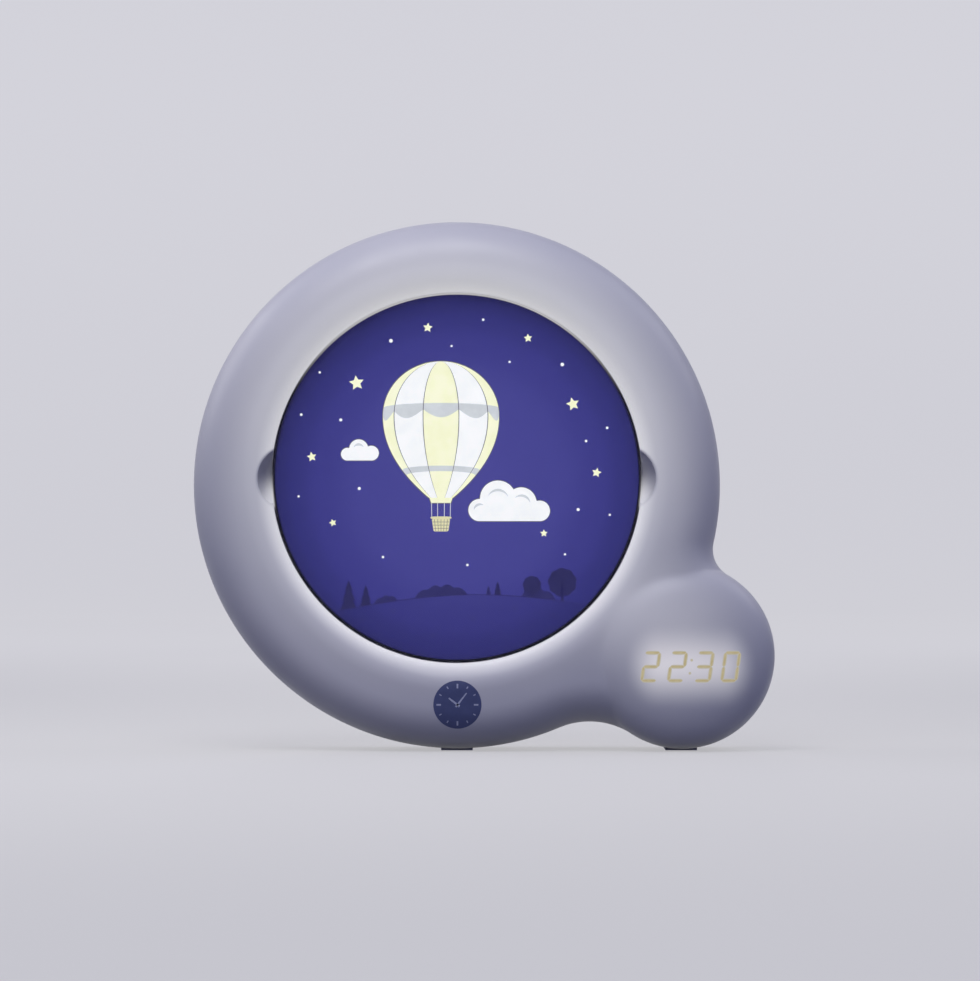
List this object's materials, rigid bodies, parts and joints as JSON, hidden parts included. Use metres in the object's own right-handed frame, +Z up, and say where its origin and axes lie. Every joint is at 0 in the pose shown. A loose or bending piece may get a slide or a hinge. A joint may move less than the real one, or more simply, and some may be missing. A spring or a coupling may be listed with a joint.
{
  "type": "kids alarm clock with night light",
  "caption": "Round bedside alarm clock with a lit picture disc set in a rounded ring and a domed pod at its lower right that shows the time through the shell.",
  "frame": {"origin": "middle of the bounding box at the level of the feet", "axes": "+Z up; -Y is the front, where the picture and the digits face; +X to the right as seen from the front"},
  "size_m": [0.2206, 0.054, 0.2008],
  "materials": {
    "case": "fine satin grain, translucent white moulding",
    "foot_rubber": "soft matte",
    "clear_lens": "clear, polished",
    "film_print": "printed night sky, lit from behind",
    "opal": "opal, diffusing",
    "reflector": "white satin",
    "circuit_board": "solder mask",
    "led": "clear over yellow phosphor",
    "screw_steel": "zinc plated",
    "black_plastic": "fine moulded",
    "digit_glow": "lit amber",
    "switch_plastic": "fine moulded",
    "socket_steel": "nickel plated",
    "button": "satin",
    "speaker_steel": "black",
    "speaker_paper": "coated cone",
    "magnet": "zinc plated",
    "cell_jacket": "shrink sleeve",
    "contact_steel": "nickel plated",
    "connector_nylon": "moulded nylon",
    "wire_jacket": "insulated wire"
  },
  "bodies": {
    "case": {"front_housing": "case", "rear_housing": "case", "foot_pads": "foot_rubber", "housing_screws": "screw_steel", "diffuser_panel": "opal", "light_box": "reflector", "light_board": "circuit_board", "light_leds": "led", "light_box_screws": "screw_steel", "display_board": "circuit_board", "display_module": "black_plastic", "display_segments": "digit_glow", "display_screws": "screw_steel", "main_board": "circuit_board", "main_board_parts": "black_plastic", "board_screws": "screw_steel", "control_board": "circuit_board", "button_switches": "switch_plastic", "slide_switches": "socket_steel", "power_socket": "socket_steel", "speaker_frame": "speaker_steel", "speaker_cone": "speaker_paper", "speaker_magnet": "magnet", "battery_cells": "cell_jacket", "battery_springs": "contact_steel", "board_connectors": "connector_nylon", "battery_leads": "wire_jacket", "speaker_lead": "wire_jacket", "control_lead": "wire_jacket", "display_lead": "wire_jacket", "light_lead": "wire_jacket"},
    "picture_disc": {"picture_lens": "clear_lens", "picture_film": "film_print", "film_ring": "reflector"},
    "hour_button": {"hour_button": "button"},
    "minute_button": {"minute_button": "button"},
    "time_button": {"time_button": "button"},
    "alarm_button": {"alarm_button": "button"},
    "alarm_switch": {"alarm_switch_knob": "button"},
    "light_switch": {"light_switch_knob": "button"},
    "battery_cover": {"battery_door": "case", "door_screw": "screw_steel"}
  },
  "joints": [
    {"name": "picture_pull", "type": "slide", "parent": "case", "child": "picture_disc", "axis": [0, -1, 0], "range_m": [0, 0.018]},
    {"name": "hour_press", "type": "slide", "parent": "case", "child": "hour_button", "axis": [0, -1, 0], "range_m": [0, 0.0008], "stiffness_N_per_m": 1500},
    {"name": "minute_press", "type": "slide", "parent": "case", "child": "minute_button", "axis": [0, -1, 0], "range_m": [0, 0.0008], "stiffness_N_per_m": 1500},
    {"name": "time_press", "type": "slide", "parent": "case", "child": "time_button", "axis": [0, -1, 0], "range_m": [0, 0.0008], "stiffness_N_per_m": 1500},
    {"name": "alarm_press", "type": "slide", "parent": "case", "child": "alarm_button", "axis": [0, -1, 0], "range_m": [0, 0.0008], "stiffness_N_per_m": 1500},
    {"name": "alarm_switch_slide", "type": "slide", "parent": "case", "child": "alarm_switch", "axis": [1, 0, 0], "range_m": [-0.002, 0.002]},
    {"name": "light_switch_slide", "type": "slide", "parent": "case", "child": "light_switch", "axis": [1, 0, 0], "range_m": [-0.002, 0.002]},
    {"name": "battery_cover_tip", "type": "hinge", "parent": "case", "child": "battery_cover", "pos_m": [-0.01032, 0.0262, 0.07765], "axis": [-1, 0, 0], "range_deg": [0, 75]}
  ]
}
